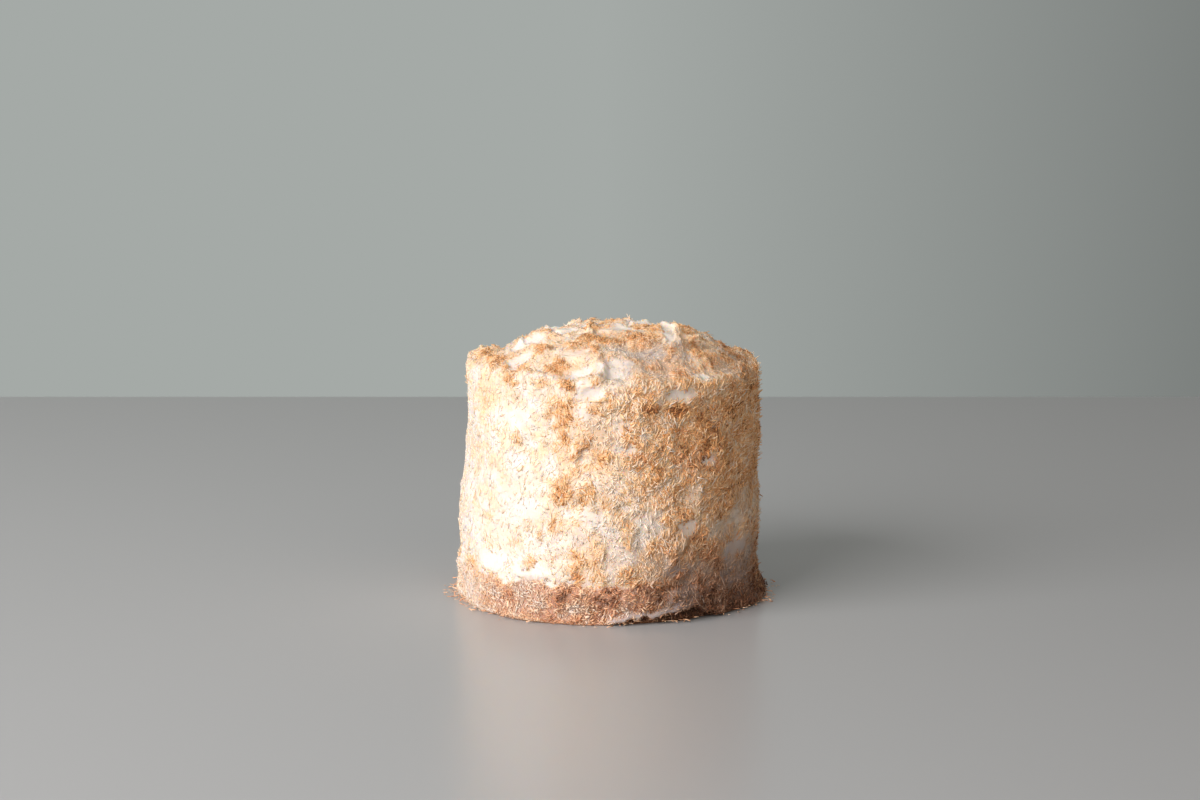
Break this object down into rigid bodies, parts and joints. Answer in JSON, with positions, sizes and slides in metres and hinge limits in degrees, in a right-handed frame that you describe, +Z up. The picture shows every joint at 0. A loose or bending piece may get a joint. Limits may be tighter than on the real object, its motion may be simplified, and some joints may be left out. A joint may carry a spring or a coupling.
{
  "type": "smash cake",
  "caption": "Small tall round cake in white frosting, domed and swirled on top with a palette knife, in a patchy coat of toasted shredded coconut",
  "frame": {"origin": "centre of the cake's footprint, on the surface it stands on", "axes": "+Z up; -Y is the side that faces the camera in the picture, and +X is the cake's right there"},
  "size_m": [0.1161, 0.114, 0.1023],
  "materials": {
    "coconut_coat": "matte",
    "frosting": "satin",
    "coconut_pale": "matte",
    "coconut_golden": "matte",
    "coconut_toasted": "matte"
  },
  "bodies": {
    "root": {"frosted_cake": "coconut_coat"}
  },
  "joints": []
}
